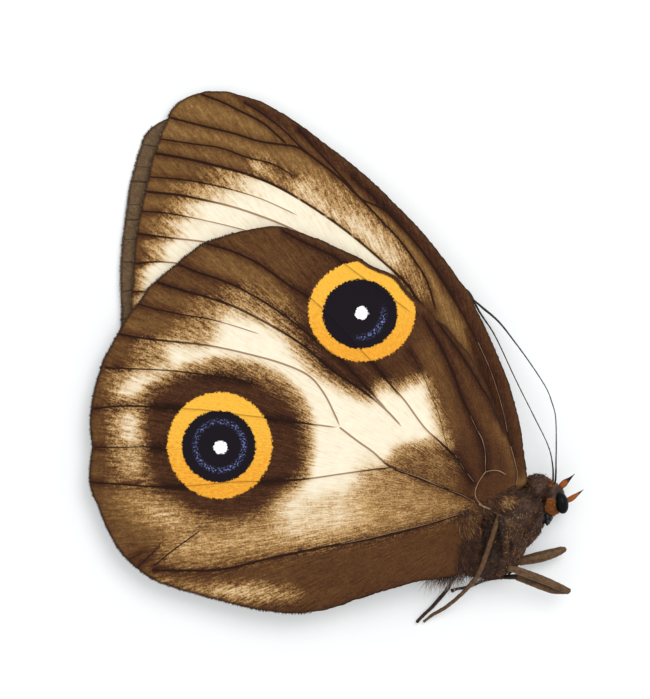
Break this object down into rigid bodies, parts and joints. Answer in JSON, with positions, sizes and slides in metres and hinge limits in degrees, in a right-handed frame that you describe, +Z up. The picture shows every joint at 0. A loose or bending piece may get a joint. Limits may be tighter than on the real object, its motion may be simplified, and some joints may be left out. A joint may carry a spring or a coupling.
{
  "type": "dried butterfly specimen",
  "caption": "Dried butterfly lying on its side with closed brown and cream wings, ringed eyespots, folded legs and long thin antennae.",
  "frame": {"origin": "middle of the whole outline seen from above, on the surface that the butterfly lies on", "axes": "+Z up from the surface, +Y from the legs towards the tip of the forewing, +X towards the head"},
  "size_m": [0.0494, 0.0536, 0.006],
  "materials": {
    "wing_scales": "matte scales, brown with cream fields, golden ringed eyespots",
    "body_fur": "short matted brown hair",
    "leg_scales": "fine brown scales with a soft sheen",
    "orange_fur": "short orange hair with black tips",
    "black_shell": "black horn with a low sheen",
    "eye": "glossy black with fine facets"
  },
  "bodies": {
    "root": {"head": "body_fur", "eye_near": "eye", "eye_far": "eye", "antenna_near": "black_shell", "antenna_far": "black_shell", "palp_near": "orange_fur", "palp_far": "orange_fur", "proboscis": "black_shell", "thorax": "body_fur", "abdomen": "body_fur", "foreleg_near": "leg_scales", "foreleg_far": "leg_scales", "midleg_near": "leg_scales", "midleg_far": "leg_scales", "hindleg_near": "leg_scales", "hindleg_far": "leg_scales", "forewing_near": "wing_scales", "forewing_far": "wing_scales", "hindwing_near": "wing_scales", "hindwing_far": "wing_scales"}
  },
  "joints": []
}
